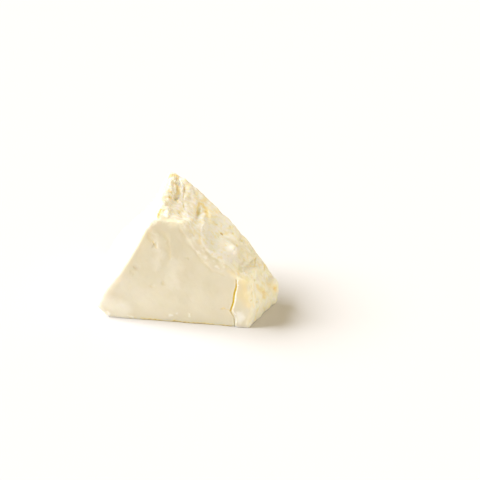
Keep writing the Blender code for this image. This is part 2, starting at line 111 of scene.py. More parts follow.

# Marks, each along a line of points: half width, height (less than 0 for a dent), how warm
# and how milky (less than 0 for dusky) its colour is. Much of this colour is painted light:
# warm in dents and creases is painted shade, milky on rims, ledges and lumps is painted
# highlight, and dusky is painted shade.
MARKS = (
    # The pits, rims and creases of the craggy top: painted shade in the pits and creases, at
    # the apex tip and on the ridge's step, painted highlight on the rims and the ledge, and
    # painted shade dulling the ledge's band and a lump.
    (((-4.1, 5.8, 72.0), (-3.3, 1.0, 69.7)), 2.1, -0.5, 0.8, 0.0),
    (((-3.3, 0.7, 69.5),), 1.5, -0.15, 0.5, 0.0),
    (((-6.6, -9.3, 72.4),), 2.0, -0.4, 1.3, 0.0),
    (((-6.4, -4.4, 73.0),), 1.3, -0.2, 0.8, 0.0),
    (((-9.7, 14.4, 76.2), (-9.7, 11.9, 75.7)), 2.2, 0.0, 1.9, -0.5),
    (((-8.7, 15.0, 75.9), (-6.6, 15.3, 74.5)), 1.6, 0.0, 0.8, 0.0),
    (((-11.1, 11.9, 75.2),), 1.4, 0.0, 1.0, 0.0),
    (((-6.5, 7.7, 73.9),), 1.4, -0.3, 0.7, 0.0),
    (((-5.8, 14.1, 73.8),), 1.4, -0.4, 0.8, 0.0),
    (((-1.0, 9.0, 70.9), (-0.5, 7.1, 69.8)), 1.1, -0.5, 0.5, 0.0),
    (((-0.0, 2.0, 68.7), (0.7, -2.2, 68.9)), 1.0, -0.5, 0.3, 0.0),
    (((1.4, -6.5, 67.1), (2.0, -9.9, 66.9)), 1.1, -0.5, 0.6, 0.0),
    (((0.7, -19.2, 67.8),), 1.4, -0.5, 0.35, 0.0),
    (((-7.1, -25.0, 72.4), (-6.4, -28.4, 71.6)), 1.6, -0.5, 0.4, 0.0),
    (((-9.0, -25.1, 72.6), (-9.6, -28.4, 72.0), (-9.4, -32.6, 71.7)), 1.3, 0.0, 2.2, 0.0),
    (((-4.7, -1.1, 69.0),), 2.0, 0.5, 0.4, 0.0),
    (
        ((-5.3, 7.7, 72.6), (-5.1, 10.8, 72.9), (-4.0, 12.5, 72.7), (-2.5, 10.7, 72.3)),
        0.9, 0.6, 0.0, 0.9,
    ),
    (((-2.5, 10.7, 72.3), (-1.6, 6.9, 70.9), (-0.4, 0.2, 69.0)), 0.8, 0.5, 0.0, 0.6),
    (((-9.2, 8.5, 75.7), (-7.9, 1.3, 74.7), (-6.9, -3.4, 73.8)), 0.9, 0.4, 0.0, 0.9),
    (((-6.8, 9.4, 74.7), (-5.5, 1.4, 72.1), (-4.8, -1.5, 68.8)), 0.8, 0.5, 0.0, 0.7),
    (((-4.4, -28.5, 71.1), (-4.6, -21.3, 70.9)), 3.0, 0.9, 0.0, 1.0),
    (((0.6, -32.8, 70.6), (5.8, -31.0, 69.2)), 1.0, 0.2, 0.0, 0.3),
    (((-10.8, -29.3, 71.1),), 3.0, 1.0, 0.3, -0.3),
    (((-7.9, -33.5, 70.9), (0.1, -30.6, 70.2), (7.0, -27.8, 67.5)), 3.6, 0.0, 0.0, -0.7),
    # The two brown streaks below the top, partly painted shade of shallow grooves, and the
    # light between them; painted shade dulls the top beside them.
    (((9.4, -5.4, 60.2), (9.1, -3.0, 62.7), (9.5, 1.1, 64.0)), 2.0, -0.3, 0.9, 0.0),
    (((9.1, -4.1, 60.9), (9.0, -3.4, 62.2)), 1.6, -0.15, 1.1, 0.0),
    (
        ((15.7, -5.2, 59.2), (14.0, 0.5, 60.5), (11.5, 2.7, 62.8), (9.5, 1.6, 64.1)),
        2.0, -0.3, 1.0, 0.0,
    ),
    (((14.0, -0.6, 60.4), (14.6, -2.0, 60.2)), 1.7, -0.2, 1.6, 0.0),
    (((0.7, 5.1, 69.2), (5.0, -2.2, 66.5)), 4.0, 0.0, 0.1, -0.35),
    (((12.1, -30.0, 62.4), (16.4, -27.9, 58.1)), 4.0, 0.0, 0.0, 0.3),
    (((9.0, 4.9, 64.8), (10.0, 4.5, 64.0)), 2.2, 0.0, 0.35, 0.0),
    (((11.8, -3.0, 60.5), (11.2, -0.5, 61.6)), 1.3, 0.5, 0.0, 0.6),
    # The shell-shaped hollow's rim, painted as a highlight, and the hole and the dots in and
    # above it, with painted shade inside them.
    (
        (
            (14.9, -16.6, 59.9),
            (14.9, -25.9, 60.3),
            (16.0, -31.2, 58.6),
            (18.0, -32.6, 54.5),
            (20.4, -32.6, 51.6),
            (23.5, -31.6, 49.5),
            (26.9, -30.2, 48.2),
            (29.4, -29.3, 46.3),
        ),
        1.2, 0.5, 0.0, 0.7,
    ),
    (((25.3, -11.0, 50.6),), 1.7, -1.0, 2.4, 0.0),
    (((21.2, -5.7, 54.1),), 1.1, -0.4, 1.0, 0.0),
    (((30.9, -4.6, 47.8),), 1.2, -0.6, 1.1, 0.0),
    (((29.0, -0.9, 50.9),), 1.0, -0.6, 0.5, 0.0),
    (((34.8, -11.9, 43.9),), 1.3, -0.7, 1.2, 0.0),
    (((36.7, -3.6, 42.9),), 1.3, -0.7, 1.2, 0.0),
    # Lumps, creases and pale lines lower down: painted highlight on the lumps and lines,
    # painted shade in the creases, the pits and between the lumps, and painted shade dulling a
    # stretch of the slope.
    (((34.0, -22.5, 46.5),), 2.0, 0.7, 0.0, 0.8),
    (((38.4, -3.1, 41.9),), 2.4, 0.8, 0.0, 0.7),
    (((30.2, -28.7, 46.0),), 1.7, 0.5, 0.0, 0.7),
    (((38.4, -13.9, 40.1), (39.5, -7.7, 38.7)), 5.0, 0.8, 0.0, 0.2),
    (((33.7, -29.2, 42.4), (37.8, -30.3, 37.3)), 1.1, -0.5, 0.15, 0.0),
    (((31.8, -31.2, 43.4), (33.8, -24.1, 43.6), (38.2, -21.2, 38.0)), 4.5, 0.0, 0.0, 0.7),
    (((38.7, -24.7, 37.3), (41.0, -19.2, 35.7), (43.0, -11.4, 33.0)), 2.5, 0.6, 0.0, 0.5),
    (((54.5, -8.7, 20.4),), 4.0, 0.0, 0.0, 0.4),
    (((49.5, -22.9, 21.6), (52.3, -20.4, 15.2)), 3.0, 0.0, 0.7, 0.0),
    (((56.6, -10.3, 16.6), (58.4, -8.4, 9.6)), 3.6, 0.0, 0.6, 0.0),
    (((50.4, -3.5, 27.0), (51.1, -8.9, 26.0)), 1.6, 0.0, 0.7, 0.0),
    (((32.9, -34.7, 38.0), (36.4, -34.5, 36.5)), 2.6, 0.0, 0.3, 0.0),
    (((28.7, -14.2, 48.6), (32.9, -13.8, 46.6)), 4.5, 0.0, 0.0, -0.65),
    (((38.0, -22.1, 38.1), (40.0, -25.6, 35.2), (41.9, -31.4, 34.7)), 1.0, 0.5, 0.0, 0.8),
    (((44.4, -24.3, 33.4), (46.2, -30.8, 29.0), (46.8, -32.1, 22.9)), 0.9, 0.4, 0.0, 0.6),
    (((51.4, -8.5, 25.8), (52.2, -12.7, 20.5)), 0.9, 0.3, 0.0, 0.5),
    (((43.3, -18.3, 34.2), (46.1, -15.0, 32.4), (45.1, -6.2, 32.5)), 1.1, -0.5, 0.7, 0.0),
    (((51.0, -5.0, 25.9),), 1.2, -1.0, 0.7, 0.0),
    (((47.1, -23.6, 27.5),), 1.2, -1.0, 0.8, 0.0),
    (((51.6, -20.2, 17.2),), 1.7, -1.0, 0.6, 0.0),
    (((57.6, -10.1, 13.7),), 1.6, -1.0, 0.6, 0.0),
    (((46.6, -34.5, 19.6),), 1.2, -1.0, 0.8, 0.0),
    (((48.9, -27.8, 14.6),), 1.4, -1.0, 0.6, 0.0),
    (((55.6, -13.7, 9.8), (57.7, -6.8, 2.7)), 3.2, 0.8, 0.0, 0.1),
    # The front cut: the pale lip of the crack, a painted highlight, and its spur, the nick and
    # small dents, warmed as painted shade.
    (((38.1, -35.2, 33.6), (38.1, -35.2, 30.4), (37.3, -35.0, 25.2)), 0.7, 0.2, 0.0, 1.0),
    (((37.3, -35.0, 25.2), (36.7, -34.9, 19.5), (34.9, -34.9, 12.8)), 0.7, 0.2, 0.0, 1.0),
    (((34.9, -35.0, 12.5), (37.1, -35.0, 8.8)), 0.7, 0.2, 0.0, 0.9),
    (((37.3, -35.1, 7.1), (37.4, -35.5, 3.3)), 0.9, 0.2, 0.0, 0.8),
    (((28.1, -34.5, 11.8), (30.3, -34.5, 12.7), (32.0, -34.4, 11.7)), 0.7, -0.4, 0.8, 0.0),
    (((-12.5, -35.0, 55.9), (-10.7, -35.1, 52.7)), 1.4, -0.45, 0.5, 0.0),
    (((-14.9, -34.7, 60.3), (-13.5, -35.0, 56.5)), 2.2, -0.4, 0.2, 0.0),
    (((9.3, -34.5, 61.4), (10.4, -34.4, 61.4)), 0.7, -0.4, 0.3, 0.0),
    (((-25.4, -34.8, 33.9),), 2.4, -0.45, 0.15, 0.0),
    (((-24.4, -34.3, 37.2),), 1.3, -0.3, 0.3, 0.0),
    (((-14.2, -34.1, 24.6),), 2.4, -0.45, 0.2, 0.0),
    (((-7.4, -34.8, 27.2),), 2.2, -0.4, 0.15, 0.0),
    (((8.3, -34.8, 45.4),), 2.4, -0.5, 0.1, 0.0),
    # The soft groove, the dusky band of painted shade along it, and the pale spots where the
    # front cut meets the break.
    (
        (
            (3.7, -34.5, 66.3),
            (7.4, -34.4, 59.8),
            (10.9, -34.4, 54.0),
            (16.7, -34.5, 44.9),
            (22.7, -34.6, 38.8),
            (29.8, -34.6, 36.3),
        ),
        2.0, -0.3, 0.12, 0.0,
    ),
    (
        (
            (8.1, -34.6, 64.0),
            (9.8, -34.5, 60.0),
            (12.7, -34.4, 55.5),
            (15.6, -34.5, 51.7),
            (19.2, -34.6, 47.9),
            (22.8, -34.8, 44.9),
            (26.9, -34.9, 42.5),
            (31.1, -34.8, 40.0),
        ),
        4.0, 0.0, 0.0, -0.55,
    ),
    (((19.1, -34.6, 47.6),), 2.2, 0.4, 0.0, 0.6),
    (((7.4, -34.4, 59.8), (10.9, -34.4, 54.0)), 2.6, 0.0, 0.0, 0.35),
    (((15.0, -34.5, 51.3),), 1.5, 0.3, 0.0, 0.5),
    (((23.9, -34.6, 45.5),), 1.7, 0.3, 0.0, 0.3),
    (((29.9, -34.7, 42.0),), 1.6, 0.3, 0.0, 0.35),
    (((-1.9, -34.8, 68.5), (1.7, -34.5, 68.8), (4.0, -34.4, 65.6)), 3.0, 0.0, 0.0, 0.2),
    (((13.8, -34.5, 51.5), (15.9, -34.5, 49.6)), 1.2, 0.2, 0.0, 0.5),
    (((25.1, -34.8, 42.0), (26.9, -34.8, 40.7)), 1.2, 0.2, 0.0, 0.5),
    # Soft streaks and patches of the front cut, and pale specks near its foot.
    (((-8.4, -34.7, 56.7), (-8.9, -35.1, 49.4), (-9.7, -34.6, 39.3)), 4.5, 0.3, 0.0, 0.25),
    (((-18.7, -17.6, 58.6), (-20.3, -21.3, 55.7), (-19.6, -34.4, 57.7)), 3.0, 0.0, 0.22, 0.0),
    (((-4.5, -34.8, 60.1), (-3.7, -34.8, 45.5)), 3.5, -0.2, 0.15, 0.0),
    (((1.0, -34.5, 42.9), (-0.6, -34.7, 26.8)), 6.0, 0.3, 0.0, 0.2),
    (((-3.7, -34.7, 4.6), (-2.4, -34.7, 5.1)), 1.5, 0.2, 0.0, 0.6),
    (((8.5, -34.8, 7.2), (8.6, -34.8, 5.1)), 1.1, 0.2, 0.0, 0.6),
    (((-42.3, -34.9, 3.8), (-41.7, -34.8, 2.7)), 1.6, 0.2, 0.0, 0.8),
    (((-29.8, -34.9, 2.4), (-26.7, -34.9, 1.9)), 1.3, 0.2, 0.0, 0.5),
    (((0.8, -35.0, 7.0),), 1.4, 0.2, 0.0, 0.5),
    # Painted glow: the slab beside the crack warmer, as if lit through.
    (((41.7, -35.4, 32.9), (42.2, -34.9, 18.5)), 7.0, 0.0, 0.5, 0.0),
    # The painted contact shadow along the foot of the front cut, drawn as a brown line.
    (((-46.0, -34.7, 0.2), (-10.0, -34.7, 0.1), (34.0, -34.7, 0.1)), 1.2, 0.0, 1.9, 0.0),
    (((-20.0, -34.7, 0.6), (-18.5, -34.7, 0.6)), 1.3, 0.0, 1.4, 0.0),
    (((-1.0, -34.7, 0.6), (1.0, -34.7, 0.6)), 1.4, -0.2, 1.4, 0.0),
    # Painted light: milky patches low on the slab beside the crack and low on the front cut,
    # lighter towards the foot as if lit from the floor.
    (((38.9, -34.8, 9.5), (39.2, -35.2, 4.8)), 3.6, 0.0, 0.0, 0.9),
    (((-41.9, -35.0, 10.5), (-32.1, -35.1, 7.8)), 9.0, 0.0, 0.0, 0.42),
    (((-30.6, -35.0, 25.1), (-23.2, -34.6, 14.1)), 14.0, 0.0, 0.0, 0.16),
)

# Noise that makes a distance uneven: what it starts from, and its size and reach. Marks
# wider than COARSE_FROM take the coarse one.
NOISE_SEED = 3
BREAK_WOBBLE = (6.0, 5.0)
FINE_WOBBLE = (1.7, 0.7)
COARSE_WOBBLE = (5.0, 2.4)
COARSE_FROM = 2.3

# From how far inside the cuts' planes the surface is crumb, and over how much it turns.
OPEN_SIDE = (-0.2, 1.6)

# How hard the knife cuts are levelled, and the smoothing: name, vertex group and rounds.
LEVEL_FACTOR = 6.0
SMOOTHING = (
    ("soften", "all_round", 5),
    ("crags", "crags", 75),
    ("blend", "break", 45),
    ("wear", "worn", 120),
)
# Vertex groups are given in steps of one over this.
WEIGHT_STEPS = 200.0

# The sizes of the relief patterns along X, Y and Z. The cells stand out round this level.
CLUMP_SIZE = (4.2, 4.2, 4.2)
STREAK_SIZE = (2.2, 2.2, 7.0)
CURD_SIZE = (1.9, 1.9, 1.9)
GRIT_SIZE = (0.9, 0.9, 0.9)
SWELL_SIZE = (11.0, 11.0, 11.0)
WAVER_SIZE = (2.6, 2.6, 2.6)
CELL_MIDDLE = 0.4
# How high the knife's waver is, as a share of its swells.
WAVER_SHARE = 0.4

# How sunk a place is against the surface near it and wide round it: the rounds of averaging
# that find them, and the depths that count as full. The material paints shade into sunk places
# and highlight onto raised ones.
NEAR_ROUNDS = 8
WIDE_ROUNDS = 60
PIT_FULL = 0.25
SUNK_FULL = 1.2

# The cheese's own patterns: size of the features, and detail.
ROUND_CURD = (2.7, 2.5)
UPRIGHT_CURD = (2.6, 2.0)
UPRIGHT_DRAW = (1.0, 1.0, 0.35)
GRAIN = (1.1, 2.0)
GRAIN_DEPTH = 0.15
PATCH_SIZE = 11.0
MOIST_SIZE = 5.0
# How deep light goes into the cheese, the reach of red, green and blue, and the shine.
LIGHT_DEPTH = 4.0
LIGHT_REACH = (1.0, 0.88, 0.62)
SHINE = 0.35

# In metres: points of the solid nearer than this are one, and the floor's side. The
# camera's sensor is in millimetres, as its lens is.
MERGE_DISTANCE = 0.000001
FLOOR_SIZE = 6.0
SENSOR_WIDTH = 36.0


class WedgeSizes(bpy.types.PropertyGroup):
    """Sizes of the wedge's relief."""

    grain: FloatProperty(
        name="Mesh grain",
        description="Size of the mesh's squares before it is thinned",
        default=0.00038,
        subtype='DISTANCE',
        unit='LENGTH',
    )
    triangles: IntProperty(
        name="Triangles",
        description="How many triangles the finished wedge keeps at most",
        default=190000,
    )
    clump_height: FloatProperty(
        name="Clump height",
        description="How far the clumps of curd stand out of the broken side",
        default=0.0004,
        subtype='DISTANCE',
        unit='LENGTH',
    )
    curd_height: FloatProperty(
        name="Curd height",
        description="How far the curd grains stand out of the broken side",
        default=0.00034,
        subtype='DISTANCE',
        unit='LENGTH',
    )
    grit_height: FloatProperty(
        name="Grit height",
        description="How far the finest grains stand out of the broken side",
        default=0.00024,
        subtype='DISTANCE',
        unit='LENGTH',
    )
    streak_height: FloatProperty(
        name="Streak height",
        description="Depth of the upright streaks at the broken end",
        default=0.0009,
        subtype='DISTANCE',
        unit='LENGTH',
    )
    knife_swell: FloatProperty(
        name="Knife swell",
        description="How far the knife cuts are from flat",
        default=0.0005,
        subtype='DISTANCE',
        unit='LENGTH',
    )


class CheeseLook(bpy.types.PropertyGroup):
    """Colours and finish of the cheese, with the colours of its painted shade and highlights.
    """

    cut: FloatVectorProperty(
        name="Cut",
        description="Colour of the smooth knife cuts",
        default=(0.80, 0.77, 0.663),
        subtype='COLOR',
        min=0.0,
        max=1.0,
    )
    # Lighter than the cut partly as the milky broken curd, and partly as painted light on the
    # broken side, which stands in shade.
    crumb: FloatVectorProperty(
        name="Crumb",
        description="Colour of the broken side",
        default=(0.98, 0.975, 0.91),
        subtype='COLOR',
        min=0.0,
        max=1.0,
    )
    # Also the painted shade in pits, hollows, creases and dents, besides the curd's warm tone.
    deep: FloatVectorProperty(
        name="Deep",
        description="Colour in pits and creases",
        default=(0.90, 0.75, 0.36),
        subtype='COLOR',
        min=0.0,
        max=1.0,
    )
    # Also painted highlight on rims, ledges, lumps and raised grains, and a painted glow along
    # the front-left edge.
    milk_and_highlight: FloatVectorProperty(
        name="Milk and highlight",
        description="Colour of rims and of the grains that stand out",
        default=(0.985, 0.985, 0.97),
        subtype='COLOR',
        min=0.0,
        max=1.0,
    )
    # Painted shade: the contact shadow along the foot, and the shade in the hole, on the
    # ridge's step and at the apex tip; also the brown streaks.
    brown_shade: FloatVectorProperty(
        name="Brown shade",
        description="Colour of the brown spots and painted shade",
        default=(0.62, 0.46, 0.20),
        subtype='COLOR',
        min=0.0,
        max=1.0,
    )
    # Painted shade on the upper part, on the crumb's top and on marks that face the light, and
    # the darker patches of the cut.
    dusk: FloatVectorProperty(
        name="Dusk",
        description="Colour of the wedge's upper part and of its darker patches",
        default=(0.70, 0.655, 0.52),
        subtype='COLOR',
        min=0.0,
        max=1.0,
    )
    # Painted shade inside the crack.
    crack: FloatVectorProperty(
        name="Crack",
        description="Colour inside the crack",
        default=(0.76, 0.58, 0.03),
        subtype='COLOR',
        min=0.0,
        max=1.0,
    )
    roughness: FloatProperty(
        name="Roughness",
        description="How dull the moist surface is",
        default=0.5,
        subtype='FACTOR',
        min=0.0,
        max=1.0,
    )
    translucency: FloatProperty(
        name="Translucency",
        description="How much of the light passes below the surface",
        default=0.8,
        subtype='FACTOR',
        min=0.0,
        max=1.0,
    )


class StageLook(bpy.types.PropertyGroup):
    """The floor, the lights and the camera."""

    floor: FloatVectorProperty(
        name="Floor",
        description="Colour of the floor",
        default=(0.77, 0.775, 0.83),
        subtype='COLOR',
        min=0.0,
        max=1.0,
    )
    fill: FloatProperty(
        name="Fill",
        description="Strength of the light from all round",
        default=1.38,
    )
    bounce: FloatProperty(
        name="Bounce",
        description="How much stronger the fill is on the right",
        default=1.3,
    )
    horizon: FloatVectorProperty(
        name="Horizon",
        description="Colour of the fill near the horizon",
        default=(1.0, 0.885, 0.65),
        subtype='COLOR',
        min=0.0,
        max=1.0,
    )
    zenith: FloatVectorProperty(
        name="Zenith",
        description="Colour of the fill from above",
        default=(0.26, 0.21, 0.12),
        subtype='COLOR',
        min=0.0,
        max=1.0,
    )
    key: FloatProperty(
        name="Key",
        description="Strength of the main light",
        default=4.0,
    )
    key_bearing: FloatProperty(
        name="Key bearing",
        description="Where the main light comes from in plan, from +X towards +Y",
        default=math.radians(179.0),
        subtype='ANGLE',
        unit='ROTATION',
    )
    key_height: FloatProperty(
        name="Key height",
        description="How high above the floor the main light stands",
        default=math.radians(43.0),
        subtype='ANGLE',
        unit='ROTATION',
    )
    key_softness: FloatProperty(
        name="Key softness",
        description="How wide the main light looks from the wedge",
        default=math.radians(36.0),
        subtype='ANGLE',
        unit='ROTATION',
    )
    camera_place: FloatVectorProperty(
        name="Camera place",
        description="Where the camera stands",
        default=(0.1251, -0.6590, 0.4245),
        subtype='TRANSLATION',
        unit='LENGTH',
    )
    camera_aim: FloatVectorProperty(
        name="Camera aim",
        description="The point in the middle of the frame",
        default=(0.02505, 0.07033, 0.0),
        subtype='TRANSLATION',
        unit='LENGTH',
    )
    lens: FloatProperty(
        name="Lens",
        description="Focal length of the camera",
        default=93.5,
        subtype='DISTANCE_CAMERA',
        unit='CAMERA',
    )


def rise(values, start, span):
    """Smooth steps: 0 up to start, and 1 from a span further on."""
    share = np.clip((values - start) / span, 0.0, 1.0)
    return share * share * (3.0 - 2.0 * share)


def fall(values, start, span):
    """Smooth steps: 1 up to start, and 0 from a span further on."""
    return 1.0 - rise(values, start, span)


def only(item):
    """Make an object the one that is selected and active."""
    bpy.ops.object.select_all(action='DESELECT')
    item.select_set(True)
    bpy.context.view_layer.objects.active = item


def apply_all(item):
    """Apply the object's modifiers in their order."""
    only(item)
    for modifier in list(item.modifiers):
        bpy.ops.object.modifier_apply(modifier=modifier.name)


def places(item):
    """The vertices' places in millimetres."""
    values = np.empty(len(item.data.vertices) * 3, np.float32)
    item.data.vertices.foreach_get("co", values)
    return values.reshape(-1, 3).astype(float) / MM


def put(item, points):
    """Move the vertices to these places, in millimetres."""
    item.data.vertices.foreach_set("co", (points * MM).astype(np.float32).ravel())
    item.data.update()


def give_group(item, name, weights):
    """Give the object a vertex group with these weights, in small steps."""
    group = item.vertex_groups.new(name=name)
    levels = np.round(np.clip(weights, 0.0, 1.0) * WEIGHT_STEPS).astype(int)
    for level in np.unique(levels):
        if level > 0:
            members = np.nonzero(levels == level)[0].tolist()
            group.add(members, level / WEIGHT_STEPS, 'REPLACE')


def note(item, name, values):
    """Store a value for each vertex, for the material."""
    layer = item.data.attributes.new(name, 'FLOAT', 'POINT')
    layer.data.foreach_set("value", values.astype(np.float32))


def from_line(points, line):
    """How far each point is from a line of points."""
    nearest = np.linalg.norm(points - np.array(line[0]), axis=1)
    for start, end in zip(line, line[1:]):
        start = np.array(start)
        leg = np.array(end) - start
        share = np.clip((points - start) @ leg / (leg @ leg), 0.0, 1.0)
        to_leg = points - start - share[:, None] * leg
        nearest = np.minimum(nearest, np.linalg.norm(to_leg, axis=1))
    return nearest


def wobbled(points, size, reach):
    """The points moved about by smooth noise, so that what is measured from them is uneven."""
    noise.seed_set(NOISE_SEED)
    moved = np.array([noise.noise_vector(point) for point in points / size])
    return points + reach * moved


def beside_ridge(points):
    """How far to the right of the ridge each point is, in millimetres."""
    (front_x, front_y), (back_x, back_y) = RIDGE_ENDS
    share = np.clip((points[:, 1] - front_y) / (back_y - front_y), 0.0, 1.0)
    ridge = front_x + (back_x - front_x) * share
    return points[:, 0] - ridge - RIDGE_BOW * np.sin(np.pi * share ** RIDGE_BOW_POWER)


def beside_left(points):
    """How far to the right of the left cut each point is, seen from the front."""
    lean = (RIDGE_ENDS[0][0] - FOOT_X) * points[:, 2] / RIDGE_Z
    return points[:, 0] - (FOOT_X + lean)


def before_back(points):
    """How far in front of the back cut each point is."""
    (left_x, left_y), (right_x, right_y) = BACK_ENDS
    slope = (right_y - left_y) / (right_x - left_x)
    along_y = left_y + (points[:, 0] - left_x) * slope - points[:, 1]
    return along_y * math.cos(math.atan(slope))


def inside_cuts(points):
    """How far inside the knife cuts and the base each point is."""
    front = points[:, 1] - FRONT_Y
    return np.minimum.reduce([beside_ridge(points), front, before_back(points), points[:, 2]])


def from_edges(points):
    """How far each point is from the edges where two knife cuts or a cut and the base meet."""
    front = points[:, 1] - FRONT_Y
    walls = [before_back(points), front, points[:, 2], beside_left(points)]
    return np.sort(np.abs(np.stack(walls)), axis=0)[1]


def from_front_left(points):
    """How far each point is from the edge of the front cut and the left cut."""
    return np.hypot(beside_left(points), points[:, 1] - FRONT_Y)


def from_break(points):
    """How far each point is, unevenly, from the edge where the front cut meets the break."""
    return from_line(wobbled(points, *BREAK_WOBBLE), [(x, FRONT_Y, z) for x, z in BREAK])


def from_crack(points):
    """How far each point is from the crack, seen from the front."""
    nearest = from_line(points[:, [0, 2]], CRACK)
    return np.where(points[:, 1] < FRONT_Y + CRACK_REACH, nearest, FAR)


def crack_width(points):
    """Half the width of the crack at each point's height, widest in its middle."""
    high = points[:, 2]
    middle = (1.0 - CRACK_NARROW) * fall(high, 26.0, 9.0) * rise(high, 6.0, 5.0)
    return CRACK_HALF_WIDTH * (CRACK_NARROW + middle)


def copy_solid(name):
    """A copy of the CAD solid as one closed mesh."""
    item = bpy.data.objects.new(name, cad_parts[NODE].data.copy())
    item.data.name = name
    item.data.materials.clear()
    bpy.context.scene.collection.objects.link(item)
    only(item)
    bpy.ops.object.mode_set(mode='EDIT')
    bpy.ops.mesh.select_all(action='SELECT')
    bpy.ops.mesh.remove_doubles(threshold=MERGE_DISTANCE)
    bpy.ops.object.mode_set(mode='OBJECT')
    return item


def remesh(item, grain):
    """Give the mesh an even grain, fine enough for the curd."""
    fuse = item.modifiers.new("fuse", 'REMESH')
    fuse.mode = 'VOXEL'
    fuse.voxel_size = grain
    apply_all(item)


def round_off(item):
    """Take the facets off: much on the knife cuts, a little on the crumb."""
    points = places(item)
    inside = inside_cuts(points)
    high = points[:, 2]
    clear = rise(from_crack(points), 0.8, 1.5)
    off_base = 1.0 - fall(high, 0.0, 1.2)
    crest = rise(high, 66.0, 3.0) * fall(np.abs(beside_ridge(points)), 1.0, 4.0)
    flat = fall(inside, 0.3, 1.2) * rise(from_edges(points), 1.0, 3.0) * (1.0 - crest)
    tip = rise(high, 71.5, 2.0)
    give_group(item, "cuts", flat * clear)
    give_group(item, "all_round", clear * off_base)
    give_group(item, "crags", rise(inside, 0.4, 1.5) * clear * (1.0 - 0.85 * tip))
    give_group(item, "worn", fall(from_front_left(points), 0.0, WEAR_WIDTH) * off_base)
    give_group(item, "break", fall(from_break(points), 0.0, 5.0) * clear * off_base)
    level = item.modifiers.new("level", 'LAPLACIANSMOOTH')
    level.lambda_factor = LEVEL_FACTOR
    level.lambda_border = 0.0
    level.use_volume_preserve = False
    level.vertex_group = "cuts"
    for name, group, rounds in SMOOTHING:
        smooth = item.modifiers.new(name, 'SMOOTH')
        smooth.factor = 0.5
        smooth.iterations = rounds
        smooth.vertex_group = group
    fill = item.modifiers.new("fill", 'DISPLACE')
    fill.strength = WEAR_FILL * MM
    fill.mid_level = 0.0
    fill.vertex_group = "worn"
    apply_all(item)


def guide(size):
    """An empty whose size a relief pattern takes, in millimetres."""
    item = bpy.data.objects.new("guide", None)
    bpy.context.scene.collection.objects.link(item)
    item.scale = Vector(size) * MM
    return item


def relief(item, name, kind, size, height, group, middle=0.5, depth=None):
    """Move the surface by a procedural pattern where the vertex group lets it."""
    pattern = bpy.data.textures.new(name, kind)
    pattern.noise_scale = 1.0
    if depth is not None:
        pattern.noise_depth = depth
    holder = guide(size)
    bpy.context.view_layer.update()
    push = item.modifiers.new(name, 'DISPLACE')
    push.texture = pattern
    push.texture_coords = 'OBJECT'
    push.texture_coords_object = holder
    push.strength = height
    push.mid_level = middle
    push.vertex_group = group
    apply_all(item)
    bpy.data.objects.remove(holder)
    bpy.data.textures.remove(pattern)


def push_group(item, name, weights, height):
    """Move the surface by height where the weights are 1."""
    give_group(item, name, weights)
    push = item.modifiers.new(name, 'DISPLACE')
    push.strength = height
    push.mid_level = 0.0
    push.vertex_group = name
    apply_all(item)


def carve_crumb(item, sizes):
    """Carve the broken side: clumps, upright streaks at its end, curd and grit."""
    points = places(item)
    open_side = rise(inside_cuts(points), *OPEN_SIDE)
    behind = rise(points[:, 1] - FRONT_Y, 0.0, 9.0)
    end = rise(points[:, 0], 30.0, 10.0)
    off_floor = rise(points[:, 2], 0.0, 2.5)
    crumb = open_side * (0.35 + 0.65 * behind) * (0.6 + 0.4 * end)
    edge = 0.5 * fall(from_break(points), 0.0, 6.0) * rise(from_crack(points), 1.0, 2.0)
    give_group(item, "crumb", np.maximum(crumb, edge) * off_floor)
    give_group(item, "right_end", open_side * end * off_floor)
    relief(item, "clumps", 'VORONOI', CLUMP_SIZE, -sizes.clump_height, "crumb", CELL_MIDDLE)
    relief(item, "streaks", 'CLOUDS', STREAK_SIZE, sizes.streak_height, "right_end", depth=1)
    relief(item, "curd", 'VORONOI', CURD_SIZE, -sizes.curd_height, "crumb", CELL_MIDDLE)
    relief(item, "grit", 'CLOUDS', GRIT_SIZE, sizes.grit_height, "crumb", depth=2)


def carve_cuts(item, sizes):
    """Carve the knife cuts: broad swells and the knife's fine waver."""
    points = places(item)
    closed = fall(inside_cuts(points), *OPEN_SIDE)
    clear = rise(from_crack(points), 0.6, 1.0)
    give_group(item, "knife", closed * clear * rise(points[:, 2], 0.0, 1.5))
    relief(item, "swell", 'CLOUDS', SWELL_SIZE, sizes.knife_swell, "knife", depth=1)
    relief(item, "waver", 'CLOUDS', WAVER_SIZE, sizes.knife_swell * WAVER_SHARE, "knife")


def snapped(points, line):
    """The surface's points that are nearest to those of a line."""
    return [points[np.argmin(((points - np.array(place)) ** 2).sum(axis=1))] for place in line]


def marked(points, columns):
    """The marks' columns 2 height, 3 warm, 4 milky, or -2 dents, -4 dusky, over the points."""
    fine = wobbled(points, *FINE_WOBBLE)
    coarse = wobbled(fine, *COARSE_WOBBLE)
    values = {column: np.zeros(len(points)) for column in columns}
    for row in MARKS:
        uneven = coarse if row[1] > COARSE_FROM else fine
        near = fall(from_line(uneven, snapped(points, row[0])), 0.0, row[1])
        for column in columns:
            amount = row[abs(column)] * math.copysign(1.0, column)
            if amount > 0.0:
                values[column] = np.maximum(values[column], amount * near)
    return [values[column] for column in columns]


def carve_marks(item):
    """Carve the marks' dents and lumps, and note their colours, much of them painted shade and
    highlight.
    """
    dents, lumps, warm, milky, dusky = marked(places(item), (-2, 2, 3, 4, -4))
    # warm and dusky carry painted shade, milky partly painted highlight.
    note(item, "warm", warm)
    note(item, "milky", milky)
    note(item, "dusky", dusky)
    push_group(item, "dents", dents / dents.max(), -dents.max() * MM)
    push_group(item, "lumps", lumps / lumps.max(), lumps.max() * MM)


